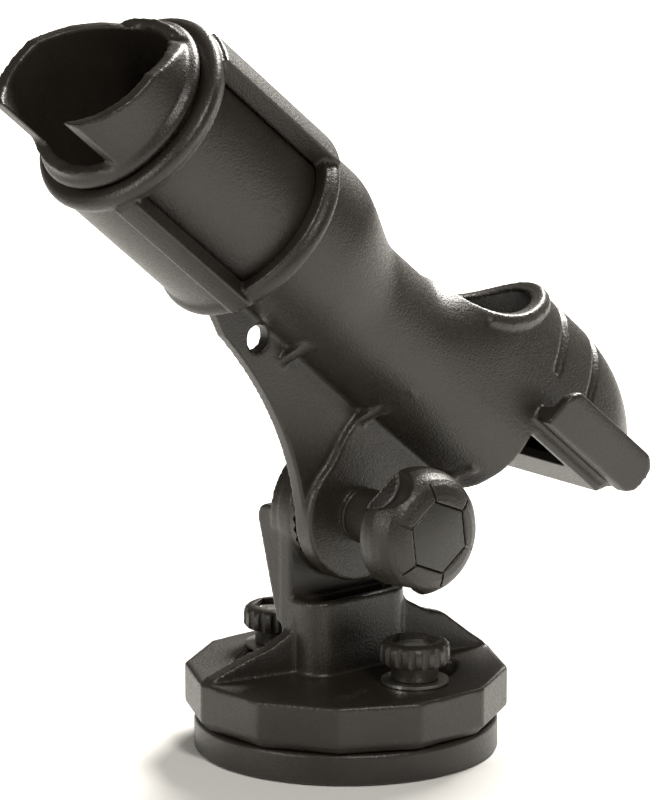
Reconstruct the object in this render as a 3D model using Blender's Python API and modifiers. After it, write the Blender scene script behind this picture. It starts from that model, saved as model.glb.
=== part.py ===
"""Rod holder with a swivelling base, a toothed tilt joint and a rotating lock collar.

Metres, +Z up. The origin is the centre of the underside of the mounting pad. The tilt axis is parallel to Y,
with the knob on the -Y side. The rod tube lies in an XZ plane: its mouth points to -X and up.
"""

from math import atan2, cos, pi, radians, sin, sqrt, tau

import bmesh
import bpy
from mathutils import Matrix, Vector

# ---------------------------------------------------------------- driving dimensions
GAP = 0.0003  # between faces that touch on the real object
RUNNING_GAP = 0.0004  # radial clearance of a piece that turns on another
OVERLAP = 0.0010  # how far shapes that are joined run into each other
ROUND = 40  # sides of a large round piece
SMALL_ROUND = 24  # sides of a small round piece

PAD_RADIUS = 0.0475
PAD_THICKNESS = 0.010
PAD_EDGE = 0.0015
SPIGOT_RADIUS = 0.010
SPIGOT_HEIGHT = 0.006

CLAMP_BOLT_RADIUS = 0.004
CLAMP_HEAD_ACROSS_FLATS = 0.013
CLAMP_HEAD_THICKNESS = 0.0053
CLAMP_NUT_THICKNESS = 0.004
BOLT_CIRCLE = 0.030
BOLT_ANGLE = radians(-84.3)
WASHER_RADIUS = 0.0105
WASHER_THICKNESS = 0.001
GRIP_RADIUS = 0.011
GRIP_HEIGHT = 0.007
GRIP_SCOOPS = 16
GRIP_SCOOP_RADIUS = 0.0014
GRIP_NECK_RADIUS = 0.0073
GRIP_NECK_HEIGHT = 0.005
GRIP_FLOOR = 0.001

FLANGE_SIDES = 12
FLANGE_RADIUS = 0.0505
FLANGE_THICKNESS = 0.0155
FLANGE_CHAMFER = 0.003
FLANGE_TURN = radians(-12.3)
SLOT_WIDTH = 0.0092
SLOT_BEFORE = radians(4.0)  # arc of slot on either side of the clamp bolt
SLOT_AFTER = radians(46.0)

COLUMN_HALF_WIDTH = 0.0195
COLUMN_FRONT = -0.009
COLUMN_CORNER = 0.007
COLUMN_TOP = 0.0495
POCKET_WALL = 0.0035
POCKET_DEPTH = 0.012
RIB_THICKNESS = 0.005
RIB_ANGLE = radians(-11.5)
RIB_REACH = 0.0485
RIB_SHOULDER = 0.034
RIB_SHOULDER_HEIGHTS = (0.0135, 0.0080)
RIB_RIM = 0.0012

PIVOT_HEIGHT = 0.0754
PIVOT_BOLT_RADIUS = 0.004
PIVOT_HEAD_ACROSS_FLATS = 0.013
PIVOT_HEAD_THICKNESS = 0.0053
PIVOT_NUT_THICKNESS = 0.0065
PIVOT_WASHER_RADIUS = 0.0085
PIVOT_WASHER_THICKNESS = 0.001

EAR_FRONT = 0.0034
EAR_BACK = 0.0083
EAR_RADIUS = 0.0205
EAR_BOSS_BACK = 0.0127
BUTTRESS_TOP = 0.0770
BUTTRESS_BACK = 0.0203  # Y of the buttresses' back near their tops
BUTTRESS_FOOT_BACK = 0.0107
BUTTRESS_WIDTH = 0.009

TOOTH_COUNT = 36
TOOTH_HEIGHT = 0.0012
TOOTH_INNER = 0.0125
TOOTH_OUTER = 0.0200
TOOTH_TIP_GAP = 0.0004

HUB_RADIUS = 0.021
HUB_FRONT = -0.0080
# Corners of the thick web over the hub: foot and top on the left, and foot on the right.
HUB_RISE = ((-0.0190, -0.0080), (-0.0217, 0.0170), (0.0206, 0.0030))
WEB_THICKNESS = 0.005
WEB_BACK = -0.0006
WEB_BEND = (-0.0385, 0.0095)  # the web's free edge is pulled towards this point
LANYARD_RADIUS = 0.0042
LANYARD_PLACE = (-0.0694, 0.0214)
GUSSET_THICKNESS = 0.003
# Each gusset's station along the tube, the height of its foot and its reach to either side.
GUSSETS = ((-0.057, 0.0180, 0.0195), (-0.0195, 0.0180, 0.0190), (0.020, 0.0220, 0.0160))

TILT = radians(40.3)
TUBE_OFFSET = -0.003
TUBE_HEIGHT = 0.0483
TUBE_RADIUS = 0.0228
TUBE_WALL = 0.0027
TUBE_END = 0.028

SEAT_RADIUS = 0.0275
SEAT_WALL = 0.0039
SEAT_END = -0.0915
SHOULDER_RISE = 0.0050  # how far the shoulder stands off the centre line, upwards
SHOULDER_RADIUS = 0.0273
SHOULDER_END = -0.0765
NECK_END = -0.046
BEAD_RADIUS = 0.0295
BEAD_START = -0.1605
BEAD_END = -0.1565
MOUTH_NOTCH = -0.1635
HORN_LEAN = radians(6.5)  # the mouth faces a little to the back, so the front horn is longer
HORN_STEPS = 60
# The horns' free edge: degrees round from underneath, and the station it reaches there.
HORN_EDGE = (
    (43, -0.1843),
    (60, -0.1813),
    (80, -0.1788),
    (100, -0.1768),
    (124, -0.1703),
    (140, -0.1655),
    (152, -0.1610),
)

COLLAR_THICKNESS = 0.0044
COLLAR_RIDGE = 0.0014
COLLAR_RIM = 0.007
WINDOW_LOW = radians(-43)
WINDOW_HIGH = radians(46)
LIP_HEIGHT = 0.0020
LOW_LIP_ARC = radians(13)
HIGH_LIP_ARC = radians(25)
LOBE_ANGLE = radians(122)
LOBE_PITCH = 0.0200
LOBE_SIZE = (0.0105, 0.0130, 0.0105)
LOBE_PROUD = 0.0045

HOOD_START = -0.030
HOOD_RISE = 0.035
HOOD_HEIGHT = 0.0462
HOOD_HALF_WIDTH = 0.0232
HOOD_WALL = 0.0035
HOOD_TOP_TURN = 0.034
HOOD_SIDE_TURN = 0.058
HOOD_END = 0.0865
HOOD_EDGE = 0.051
HOOD_MOUTH_RADIUS = 0.039  # the mouth's rim is a round scoop across the tube
HOOD_MOUTH_CENTRE = -0.020
BRIDGE_START = 0.0495
BRIDGE_END = 0.064
TAIL_RISE = radians(44)

WING_START = 0.025
WING_END = 0.0705
WING_ROUND = 0.007
WING_FOOT = 0.0545
WING_TIP = 0.0690
WING_REACH = 0.0335
WING_THICKNESS = 0.0045

KNOB_FACE = 0.0449
KNOB_RADIUS = 0.020
KNOB_BACK = 0.0285
KNOB_NECK_RADIUS = 0.0087
KNOB_TURN = radians(7)
KNOB_SCALLOPS = 3
SCALLOP_RADIUS = 0.0095
SCALLOP_CENTRE = 0.0235
SCALLOP_LEAN = radians(24)
CAP_RADIUS = 0.0114
CAP_THICKNESS = 0.0022

NYLON = (0.018, 0.017, 0.016, 1.0)
NYLON_LIGHT = (0.024, 0.023, 0.021, 1.0)
STEEL = (0.62, 0.61, 0.59, 1.0)

# ---------------------------------------------------------------- sizes that follow
SLOT_RADIUS = BOLT_CIRCLE
BOLT_HOLE = CLAMP_BOLT_RADIUS + GAP
PIVOT_HOLE = PIVOT_BOLT_RADIUS + GAP
FLANGE_BOTTOM = PAD_THICKNESS + GAP
FLANGE_TOP = FLANGE_BOTTOM + FLANGE_THICKNESS
WASHER_BOTTOM = FLANGE_TOP + GAP
GRIP_BOTTOM = WASHER_BOTTOM + WASHER_THICKNESS + GAP
GRIP_HEAD_BOTTOM = GRIP_BOTTOM + GRIP_NECK_HEIGHT
GRIP_TOP = GRIP_HEAD_BOTTOM + GRIP_HEIGHT
BUTTRESS_FOOT = GRIP_TOP + 2 * RUNNING_GAP  # the clamp nuts pass under it
CLAMP_NUT_BOTTOM = GRIP_HEAD_BOTTOM + GRIP_FLOOR
CLAMP_NUT_TOP = CLAMP_NUT_BOTTOM + GAP + CLAMP_NUT_THICKNESS
HEX_FIT = 0.0003  # clearance on each flat of a hexagonal pocket
COLLAR_INNER = SEAT_RADIUS + RUNNING_GAP
COLLAR_RADIUS = COLLAR_INNER + COLLAR_THICKNESS
COLLAR_START = BEAD_END + GAP
COLLAR_END = SEAT_END - GAP
HUB_TOOTH_FACE = -TOOTH_TIP_GAP / 2 - TOOTH_HEIGHT
EAR_TOOTH_FACE = TOOTH_TIP_GAP / 2 + TOOTH_HEIGHT
WASHER_BACK = -HUB_FRONT + GAP
KNOB_NECK_END = WASHER_BACK + PIVOT_WASHER_THICKNESS + GAP
CAP_BACK = KNOB_FACE - CAP_THICKNESS
HEAD_POCKET = CAP_BACK - GAP - PIVOT_HEAD_THICKNESS - 2 * GAP
NUT_POCKET = EAR_BOSS_BACK - PIVOT_NUT_THICKNESS


# ---------------------------------------------------------------- helpers
def clear_scene():
    for obj in list(bpy.data.objects):
        bpy.data.objects.remove(obj, do_unlink=True)


def make_collection(name):
    collection = bpy.data.collections.new(name)
    bpy.context.scene.collection.children.link(collection)
    return collection


def make_material(name, colour, roughness, metallic):
    material = bpy.data.materials.new(name)
    material.use_nodes = True
    shader = material.node_tree.nodes["Principled BSDF"]
    shader.inputs["Base Color"].default_value = colour
    shader.inputs["Roughness"].default_value = roughness
    shader.inputs["Metallic"].default_value = metallic
    return material


def nylon(obj, colour=NYLON, roughness=0.5):
    obj.data.materials.append(make_material(obj.name + "_nylon", colour, roughness, 0.0))


def steel(obj):
    obj.data.materials.append(make_material(obj.name + "_steel", STEEL, 0.25, 1.0))


def place_empty(name, location, rotation=(0, 0, 0), parent=None):
    empty = bpy.data.objects.new(name, None)
    empty.location = location
    empty.rotation_euler = rotation
    empty.parent = parent
    PARTS.objects.link(empty)
    return empty


def add_object(name, bm, parent=None, helper=False):
    bmesh.ops.recalc_face_normals(bm, faces=bm.faces)
    mesh = bpy.data.meshes.new(name)
    bm.to_mesh(mesh)
    bm.free()
    return add_mesh(name, mesh, parent, helper)


def add_mesh(name, mesh, parent=None, helper=False):
    obj = bpy.data.objects.new(name, mesh)
    obj.parent = parent
    if helper:
        obj.hide_render = True
        obj.display_type = "WIRE"
        HELPERS.objects.link(obj)
    else:
        mesh.shade_smooth()
        mesh.set_sharp_from_angle(angle=radians(35))
        PARTS.objects.link(obj)
    return obj


def combine(obj, other, operation):
    modifier = obj.modifiers.new(operation.lower() + "_" + other.name, "BOOLEAN")
    modifier.operation = operation
    modifier.solver = "EXACT"
    modifier.object = other


def cut(obj, other):
    combine(obj, other, "DIFFERENCE")


def join(obj, other):
    combine(obj, other, "UNION")


def cylinder(radius, bottom, top, sides=SMALL_ROUND, centre=(0.0, 0.0), turn=0.0, top_radius=None):
    """A bmesh cylinder, or a cone or prism, along local Z."""
    bm = bmesh.new()
    place = Matrix.Translation((centre[0], centre[1], (bottom + top) / 2)) @ Matrix.Rotation(turn, 4, "Z")
    bmesh.ops.create_cone(
        bm,
        cap_ends=True,
        segments=sides,
        radius1=radius,
        radius2=radius if top_radius is None else top_radius,
        depth=top - bottom,
        matrix=place,
    )
    return bm


def hexagon(across_flats, bottom, top, centre=(0.0, 0.0), turn=0.0):
    return cylinder(across_flats / 2 / cos(pi / 6), bottom, top, 6, centre, turn)


def hexagon_nut(across_flats, hole, bottom, top, name, parent):
    """A hexagonal nut along local Z."""
    nut = add_object(name, hexagon(across_flats, bottom, top), parent)
    bore = cylinder(hole, bottom - OVERLAP, top + OVERLAP)
    cut(nut, add_object(name + "_bore", bore, parent, helper=True))
    return nut


def turned(name, profile, steps, parent=None, helper=False):
    """A solid of revolution about local Z. The profile runs from top to bottom, from the axis to the axis."""
    mesh = bpy.data.meshes.new(name)
    points = [(radius, 0.0, height) for radius, height in profile]
    mesh.from_pydata(points, [(i, i + 1) for i in range(len(points) - 1)], [])
    obj = bpy.data.objects.new(name, mesh)
    screw = obj.modifiers.new("turn", "SCREW")
    screw.axis = "Z"
    screw.steps = steps
    screw.render_steps = steps
    screw.use_merge_vertices = True
    screw.merge_threshold = 0.00001
    obj.parent = parent
    if helper:
        obj.hide_render = True
        obj.display_type = "WIRE"
        HELPERS.objects.link(obj)
    else:
        PARTS.objects.link(obj)
    return obj


def plate(name, outline, low, high, to_local=Matrix(), parent=None, helper=True):
    """A flat outline in local XY made solid from low to high along local Z."""
    curve = bpy.data.curves.new(name, "CURVE")
    curve.dimensions = "2D"
    curve.fill_mode = "BOTH"
    curve.extrude = (high - low) / 2
    spline = curve.splines.new("POLY")
    spline.points.add(len(outline) - 1)
    for point, (x, y) in zip(spline.points, outline):
        point.co = (x, y, 0.0, 1.0)
    spline.use_cyclic_u = True
    guide = bpy.data.objects.new(name + "_outline", curve)
    HELPERS.objects.link(guide)
    graph = bpy.context.evaluated_depsgraph_get()
    mesh = bpy.data.meshes.new_from_object(guide.evaluated_get(graph))
    bpy.data.objects.remove(guide, do_unlink=True)
    mesh.materials.clear()
    bm = bmesh.new()
    bm.from_mesh(mesh)
    bmesh.ops.remove_doubles(bm, verts=bm.verts, dist=0.000001)
    bmesh.ops.translate(bm, verts=bm.verts, vec=(0, 0, (high + low) / 2))
    bmesh.ops.transform(bm, verts=bm.verts, matrix=to_local)
    bpy.data.meshes.remove(mesh)
    return add_object(name, bm, parent, helper)


def loft(rings):
    """A solid skinned over closed rings of points, with a flat cap at each end."""
    bm = bmesh.new()
    rows = [[bm.verts.new(point) for point in ring] for ring in rings]
    count = len(rows[0])
    for row, following in zip(rows, rows[1:]):
        for i in range(count):
            j = (i + 1) % count
            bm.faces.new((row[i], row[j], following[j], following[i]))
    bm.faces.new(rows[0])
    bm.faces.new(rows[-1])
    return bm


def arc(centre, radius, start, end, count):
    """Points on an arc of a circle, ends included."""
    angles = [start + (end - start) * i / (count - 1) for i in range(count)]
    return [(centre[0] + radius * cos(a), centre[1] + radius * sin(a)) for a in angles]


def smooth(t):
    t = min(1.0, max(0.0, t))
    return t * t * (3 - 2 * t)


def mix(a, b, t):
    return a + (b - a) * t


# Local Z of a plate or a cylinder turned onto -Y, with its local Y on +Z.
ONTO_Y = Matrix.Rotation(pi / 2, 4, "X")
# Local XY of a plate turned onto YZ, and its local Z onto X.
ONTO_X = Matrix(((0, 0, 1, 0), (1, 0, 0, 0), (0, 1, 0, 0), (0, 0, 0, 1)))


# ---------------------------------------------------------------- base
def clamp_places():
    """The name and the empty of the clamp in front and of the one behind."""
    places = []
    for name, angle in (("front", BOLT_ANGLE), ("back", BOLT_ANGLE + pi)):
        at = (BOLT_CIRCLE * cos(angle), BOLT_CIRCLE * sin(angle), 0.0)
        places.append((name, place_empty("clamp_axis_" + name, at)))
    return places


def make_mounting_pad(clamps):
    edge = PAD_EDGE
    profile = [
        (0.0, PAD_THICKNESS + SPIGOT_HEIGHT),
        (SPIGOT_RADIUS, PAD_THICKNESS + SPIGOT_HEIGHT),
        (SPIGOT_RADIUS, PAD_THICKNESS),
    ]
    profile += arc((PAD_RADIUS - edge, PAD_THICKNESS - edge), edge, pi / 2, 0.0, 4)
    profile += [(PAD_RADIUS, 0.0), (0.0, 0.0)]
    pad = turned("mounting_pad", profile, ROUND)
    nylon(pad)
    for name, axis in clamps:
        hole = cylinder(BOLT_HOLE, -OVERLAP, PAD_THICKNESS + OVERLAP)
        cut(pad, add_object("pad_hole_" + name, hole, axis, helper=True))
        pocket = hexagon(CLAMP_HEAD_ACROSS_FLATS + 2 * HEX_FIT, -OVERLAP, CLAMP_HEAD_THICKNESS + 2 * GAP)
        cut(pad, add_object("pad_pocket_" + name, pocket, axis, helper=True))


def make_clamp(name, axis):
    """The bolt that stands up through the pad, and the washer and knurled nut on it."""
    head = hexagon(CLAMP_HEAD_ACROSS_FLATS, GAP, GAP + CLAMP_HEAD_THICKNESS)
    bolt = add_object("pad_bolt_" + name, head, axis)
    shank = cylinder(CLAMP_BOLT_RADIUS, GAP + CLAMP_HEAD_THICKNESS - OVERLAP, CLAMP_NUT_TOP)
    join(bolt, add_object("pad_bolt_shank_" + name, shank, axis, helper=True))
    steel(bolt)

    disc = cylinder(WASHER_RADIUS, WASHER_BOTTOM, WASHER_BOTTOM + WASHER_THICKNESS, ROUND)
    washer = add_object("slot_washer_" + name, disc, axis)
    hole = cylinder(BOLT_HOLE, WASHER_BOTTOM - OVERLAP, WASHER_BOTTOM + WASHER_THICKNESS + OVERLAP)
    cut(washer, add_object("slot_washer_hole_" + name, hole, axis, helper=True))
    steel(washer)

    edge = 0.0009
    profile = [(0.0, GRIP_TOP)]
    profile += arc((GRIP_RADIUS - edge, GRIP_TOP - edge), edge, pi / 2, 0.0, 3)
    profile += [
        (GRIP_RADIUS, GRIP_HEAD_BOTTOM + edge),
        (GRIP_RADIUS - edge, GRIP_HEAD_BOTTOM),
        (GRIP_NECK_RADIUS, GRIP_HEAD_BOTTOM),
        (GRIP_NECK_RADIUS, GRIP_BOTTOM),
        (0.0, GRIP_BOTTOM),
    ]
    grip = turned("clamp_nut_" + name, profile, ROUND, axis)
    nylon(grip)
    for i in range(GRIP_SCOOPS):
        angle = tau * i / GRIP_SCOOPS
        centre = (GRIP_RADIUS * cos(angle) * 1.04, GRIP_RADIUS * sin(angle) * 1.04)
        scoop = cylinder(GRIP_SCOOP_RADIUS, GRIP_HEAD_BOTTOM - OVERLAP, GRIP_TOP + OVERLAP, 8, centre)
        cut(grip, add_object("grip_scoop_%s_%02d" % (name, i), scoop, axis, helper=True))
    bore = cylinder(BOLT_HOLE, GRIP_BOTTOM - OVERLAP, GRIP_TOP + OVERLAP)
    cut(grip, add_object("grip_bore_" + name, bore, axis, helper=True))
    socket = hexagon(CLAMP_HEAD_ACROSS_FLATS + 2 * HEX_FIT, CLAMP_NUT_BOTTOM, GRIP_TOP + OVERLAP)
    cut(grip, add_object("grip_socket_" + name, socket, axis, helper=True))

    insert = hexagon_nut(
        CLAMP_HEAD_ACROSS_FLATS, BOLT_HOLE, CLAMP_NUT_BOTTOM + GAP, CLAMP_NUT_TOP, "nut_insert_" + name, axis
    )
    steel(insert)


def slot_outline(middle):
    """The curved slot for one clamp bolt, as an outline in XY."""
    start = middle - SLOT_BEFORE
    end = middle + SLOT_AFTER
    half = SLOT_WIDTH / 2
    first = (SLOT_RADIUS * cos(start), SLOT_RADIUS * sin(start))
    last = (SLOT_RADIUS * cos(end), SLOT_RADIUS * sin(end))
    outline = arc((0, 0), SLOT_RADIUS + half, start, end, 9)
    outline += arc(last, half, end, end + pi, 8)[1:-1]
    outline += arc((0, 0), SLOT_RADIUS - half, end, start, 9)
    outline += arc(first, half, start + pi, start + tau, 8)[1:-1]
    return outline


def column_outline(inset, front, back):
    """The column's plan: rounded in front, square at the back."""
    half = COLUMN_HALF_WIDTH - inset
    corner = max(COLUMN_CORNER - inset, 0.001)
    outline = arc((-half + corner, front + corner), corner, pi, 1.5 * pi, 6)
    outline += arc((half - corner, front + corner), corner, 1.5 * pi, tau, 6)
    return outline + [(half, back), (-half, back)]


def rib_outline(shoulder):
    """One rib's side, as reach from the base's axis and height: a steep fall, a shoulder, and a slope to the rim."""
    foot = FLANGE_TOP - OVERLAP
    start = COLUMN_HALF_WIDTH - 2 * OVERLAP
    rim = FLANGE_TOP + RIB_RIM
    return [
        (start, foot),
        (RIB_REACH, foot),
        (RIB_REACH, rim),
        (mix(RIB_REACH, RIB_SHOULDER, 0.35), mix(rim, FLANGE_TOP + shoulder, 0.30)),
        (RIB_SHOULDER, FLANGE_TOP + shoulder - 0.001),
        (mix(start, RIB_SHOULDER, 0.60), FLANGE_TOP + shoulder + 0.001),
        (start + 0.003, FLANGE_TOP + shoulder + 0.005),
        (start + 0.001, COLUMN_TOP - 0.001),
        (start, COLUMN_TOP - 0.001),
    ]


def toothed_ring(name, face, direction, parent):
    """A ring of radial teeth on the plane local z = face, with their tips towards direction."""
    root = face - direction * OVERLAP
    tip = face + direction * TOOTH_HEIGHT
    steps = TOOTH_COUNT * 2
    rows = []
    corners = ((TOOTH_INNER, False), (TOOTH_INNER, True), (TOOTH_OUTER, True), (TOOTH_OUTER, False))
    for radius, raised in corners:
        row = []
        for i in range(steps):
            angle = tau * i / steps
            crest = tip if i % 2 == 0 else face - direction * GAP
            row.append((radius * cos(angle), radius * sin(angle), crest if raised else root))
        rows.append(row)
    bm = bmesh.new()
    rings = [[bm.verts.new(point) for point in row] for row in rows]
    for ring, following in zip(rings, rings[1:] + rings[:1]):
        for i in range(steps):
            j = (i + 1) % steps
            bm.faces.new((ring[i], ring[j], following[j], following[i]))
    return add_object(name, bm, parent, helper=True)


def make_swivel_base(pivot):
    side = FLANGE_RADIUS - FLANGE_CHAMFER
    flange = cylinder(
        FLANGE_RADIUS, FLANGE_BOTTOM + FLANGE_CHAMFER, FLANGE_TOP, FLANGE_SIDES, turn=FLANGE_TURN
    )
    base = add_object("swivel_base", flange)
    foot = cylinder(
        side,
        FLANGE_BOTTOM,
        FLANGE_BOTTOM + FLANGE_CHAMFER,
        FLANGE_SIDES,
        turn=FLANGE_TURN,
        top_radius=FLANGE_RADIUS,
    )
    join(base, add_object("flange_foot", foot, helper=True))

    outline = column_outline(0.0, COLUMN_FRONT, EAR_BACK)
    join(base, plate("column", outline, FLANGE_TOP - OVERLAP, COLUMN_TOP))

    arch = [(COLUMN_HALF_WIDTH, FLANGE_TOP - OVERLAP)]
    crown = atan2(sqrt(EAR_RADIUS**2 - COLUMN_HALF_WIDTH**2), COLUMN_HALF_WIDTH)
    arch += arc((0, PIVOT_HEIGHT), EAR_RADIUS, -crown, pi + crown, 30)
    arch += [(-COLUMN_HALF_WIDTH, FLANGE_TOP - OVERLAP)]
    join(base, plate("ear", arch, -EAR_BACK - 0.00005, -EAR_FRONT, ONTO_Y))

    boss = cylinder(EAR_RADIUS - 0.0004, -EAR_BOSS_BACK, -EAR_TOOTH_FACE, ROUND)
    join(base, add_object("ear_boss", boss, pivot, helper=True))
    join(base, toothed_ring("ear_teeth", -EAR_TOOTH_FACE, 1, pivot))

    for i, turn in enumerate((RIB_ANGLE, RIB_ANGLE + pi)):
        to_place = Matrix.Rotation(turn, 4, "Z") @ ONTO_Y
        half = RIB_THICKNESS / 2
        join(base, plate("rib_%d" % i, rib_outline(RIB_SHOULDER_HEIGHTS[i]), -half, half, to_place))

    side = [
        (EAR_BACK - OVERLAP, BUTTRESS_FOOT),
        (BUTTRESS_FOOT_BACK, BUTTRESS_FOOT),
        (BUTTRESS_BACK, BUTTRESS_TOP - 0.004),
        (BUTTRESS_BACK - 0.001, BUTTRESS_TOP - 0.0015),
        (BUTTRESS_BACK - 0.003, BUTTRESS_TOP),
        (EAR_BACK - OVERLAP, BUTTRESS_TOP),
    ]
    outer = COLUMN_HALF_WIDTH - GAP
    inner = outer - BUTTRESS_WIDTH
    for name, low, high in (("buttress_left", -outer, -inner), ("buttress_right", inner, outer)):
        join(base, plate(name, side, low, high, ONTO_X))

    pocket = column_outline(POCKET_WALL, COLUMN_FRONT + POCKET_WALL, EAR_FRONT - 2 * OVERLAP)
    cut(base, plate("column_pocket", pocket, COLUMN_TOP - POCKET_DEPTH, COLUMN_TOP + OVERLAP))
    sweep = cylinder(HUB_RADIUS + 0.0015, EAR_TOOTH_FACE * -1 - 0.0002, -COLUMN_FRONT + OVERLAP, ROUND)
    cut(base, add_object("hub_room", sweep, pivot, helper=True))
    spigot = cylinder(
        SPIGOT_RADIUS + RUNNING_GAP, FLANGE_BOTTOM - OVERLAP, PAD_THICKNESS + SPIGOT_HEIGHT + GAP, ROUND
    )
    cut(base, add_object("spigot_socket", spigot, helper=True))
    for i, turn in enumerate((BOLT_ANGLE, BOLT_ANGLE + pi)):
        cut(base, plate("slot_%d" % i, slot_outline(turn), FLANGE_BOTTOM - OVERLAP, FLANGE_TOP + OVERLAP))
    bore = cylinder(PIVOT_HOLE, -EAR_BOSS_BACK - OVERLAP, -EAR_TOOTH_FACE + 2 * TOOTH_HEIGHT)
    cut(base, add_object("ear_bore", bore, pivot, helper=True))
    nest = hexagon(PIVOT_HEAD_ACROSS_FLATS + 2 * HEX_FIT, -EAR_BOSS_BACK - OVERLAP, -NUT_POCKET)
    cut(base, add_object("ear_nut_nest", nest, pivot, helper=True))
    nylon(base)


# ---------------------------------------------------------------- tilt joint
def make_pivot_hardware(pivot):
    head = hexagon(PIVOT_HEAD_ACROSS_FLATS, HEAD_POCKET + GAP, HEAD_POCKET + GAP + PIVOT_HEAD_THICKNESS)
    bolt = add_object("pivot_bolt", head, pivot)
    shank = cylinder(PIVOT_BOLT_RADIUS, -EAR_BOSS_BACK - OVERLAP, HEAD_POCKET + GAP + OVERLAP)
    join(bolt, add_object("pivot_bolt_shank", shank, pivot, helper=True))
    steel(bolt)

    nut = hexagon_nut(
        PIVOT_HEAD_ACROSS_FLATS, PIVOT_HOLE, -EAR_BOSS_BACK, -NUT_POCKET - GAP, "pivot_nut", pivot
    )
    steel(nut)

    disc = cylinder(PIVOT_WASHER_RADIUS, WASHER_BACK, WASHER_BACK + PIVOT_WASHER_THICKNESS, ROUND)
    washer = add_object("pivot_washer", disc, pivot)
    hole = cylinder(PIVOT_HOLE, WASHER_BACK - OVERLAP, WASHER_BACK + PIVOT_WASHER_THICKNESS + OVERLAP)
    cut(washer, add_object("pivot_washer_hole", hole, pivot, helper=True))
    steel(washer)


def make_knob(pivot):
    profile = [
        (0.0, KNOB_FACE),
        (0.0120, KNOB_FACE),
        (0.0160, KNOB_FACE - 0.0016),
        (0.0186, KNOB_FACE - 0.0048),
        (KNOB_RADIUS, KNOB_FACE - 0.0092),
        (KNOB_RADIUS - 0.0004, KNOB_BACK + 0.0028),
        (KNOB_RADIUS - 0.0022, KNOB_BACK),
        (KNOB_NECK_RADIUS, KNOB_BACK),
        (KNOB_NECK_RADIUS, KNOB_NECK_END),
        (0.0, KNOB_NECK_END),
    ]
    knob = turned("adjuster_knob", profile, ROUND, pivot)
    nylon(knob, NYLON_LIGHT)
    for i in range(KNOB_SCALLOPS):
        angle = KNOB_TURN + tau * i / KNOB_SCALLOPS
        scoop = cylinder(SCALLOP_RADIUS, -0.03, 0.03, SMALL_ROUND)
        place = (
            Matrix.Rotation(angle, 4, "Z")
            @ Matrix.Translation((SCALLOP_CENTRE, 0, KNOB_BACK + 0.004))
            @ Matrix.Rotation(SCALLOP_LEAN, 4, "Y")
        )
        bmesh.ops.transform(scoop, verts=scoop.verts, matrix=place)
        cut(knob, add_object("knob_scallop_%d" % i, scoop, pivot, helper=True))
    recess = cylinder(CAP_RADIUS + GAP, CAP_BACK - GAP, KNOB_FACE + OVERLAP, 6, turn=KNOB_TURN + pi / 6)
    cut(knob, add_object("knob_cap_recess", recess, pivot, helper=True))
    pocket = hexagon(PIVOT_HEAD_ACROSS_FLATS + 2 * HEX_FIT, HEAD_POCKET, KNOB_FACE)
    cut(knob, add_object("knob_head_pocket", pocket, pivot, helper=True))
    bore = cylinder(PIVOT_HOLE, 0.0, KNOB_FACE)
    cut(knob, add_object("knob_bore", bore, pivot, helper=True))

    panel = cylinder(CAP_RADIUS, CAP_BACK, KNOB_FACE, 6, turn=KNOB_TURN + pi / 6)
    nylon(add_object("knob_cap", panel, pivot), NYLON_LIGHT)


# ---------------------------------------------------------------- rod tube
# In its own frame: X runs along the tube, from the mouth to the tail, and Z is up from it.
def barrel_section(station):
    """The height of the centre and the radius of the tube's outer wall at a station along it."""
    if station <= BEAD_END:
        swell = smooth((BEAD_END - station) / 0.0015)
        return TUBE_HEIGHT, mix(SEAT_RADIUS, BEAD_RADIUS, swell)
    if station <= SEAT_END:
        return TUBE_HEIGHT, SEAT_RADIUS
    t = smooth((station - SHOULDER_END) / (NECK_END - SHOULDER_END))
    return mix(TUBE_HEIGHT + SHOULDER_RISE, TUBE_HEIGHT, t), mix(SHOULDER_RADIUS, TUBE_RADIUS, t)


def hood_size(station):
    """Half the hood's width and its height over the tube's axis at a station along it."""
    grow = smooth((station - HOOD_START) / HOOD_RISE)
    width = mix(TUBE_RADIUS, HOOD_HALF_WIDTH, grow)
    height = mix(TUBE_RADIUS, HOOD_HEIGHT, grow)
    over_side = max(0.0, (station - HOOD_SIDE_TURN) / (HOOD_END - HOOD_SIDE_TURN))
    over_top = max(0.0, (station - HOOD_TOP_TURN) / (HOOD_END - HOOD_TOP_TURN))
    return width * sqrt(max(0.0, 1 - over_side**2)), height * sqrt(max(0.0, 1 - over_top**2.5))


def hood_ring(station, wall, count=ROUND):
    """A ring of the tail: round under the axis, tall over it."""
    width, height = hood_size(station)
    ring = []
    for i in range(count):
        angle = tau * i / count
        tall = height if sin(angle) > 0 else min(TUBE_RADIUS, height)
        across = (width - wall) * cos(angle)
        ring.append((station, TUBE_OFFSET + across, TUBE_HEIGHT + (tall - wall) * sin(angle)))
    return ring


def round_ring(station, height, radius, count=ROUND):
    ring = []
    for i in range(count):
        angle = tau * i / count
        ring.append((station, TUBE_OFFSET + radius * cos(angle), height + radius * sin(angle)))
    return ring


def stations(start, end, count):
    return [start + (end - start) * i / (count - 1) for i in range(count)]


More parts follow.
